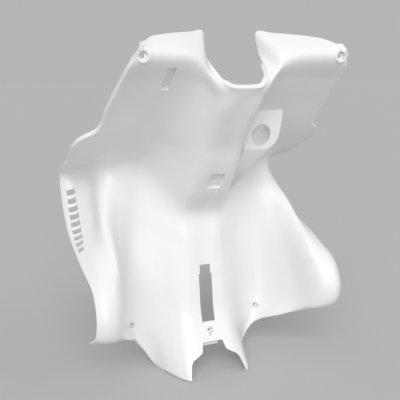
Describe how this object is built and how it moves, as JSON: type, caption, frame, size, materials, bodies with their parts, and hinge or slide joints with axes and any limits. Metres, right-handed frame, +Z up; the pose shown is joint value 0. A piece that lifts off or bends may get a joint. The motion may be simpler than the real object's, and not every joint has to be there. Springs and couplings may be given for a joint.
{
  "type": "scooter leg shield panel",
  "caption": "One-piece moulded inner leg shield for a scooter, with steering notch, key lock pad, bag hook seat, tunnel slot and side vents.",
  "frame": {"origin": "under the middle of the moulding's box, on the surface that the tunnel end stands on", "axes": "+X to the rider's right, +Y forward, away from the rider, +Z up"},
  "size_m": [0.472, 0.342, 0.6068],
  "materials": {
    "shell": "gloss"
  },
  "bodies": {
    "root": {"leg_shield": "shell"}
  },
  "joints": []
}
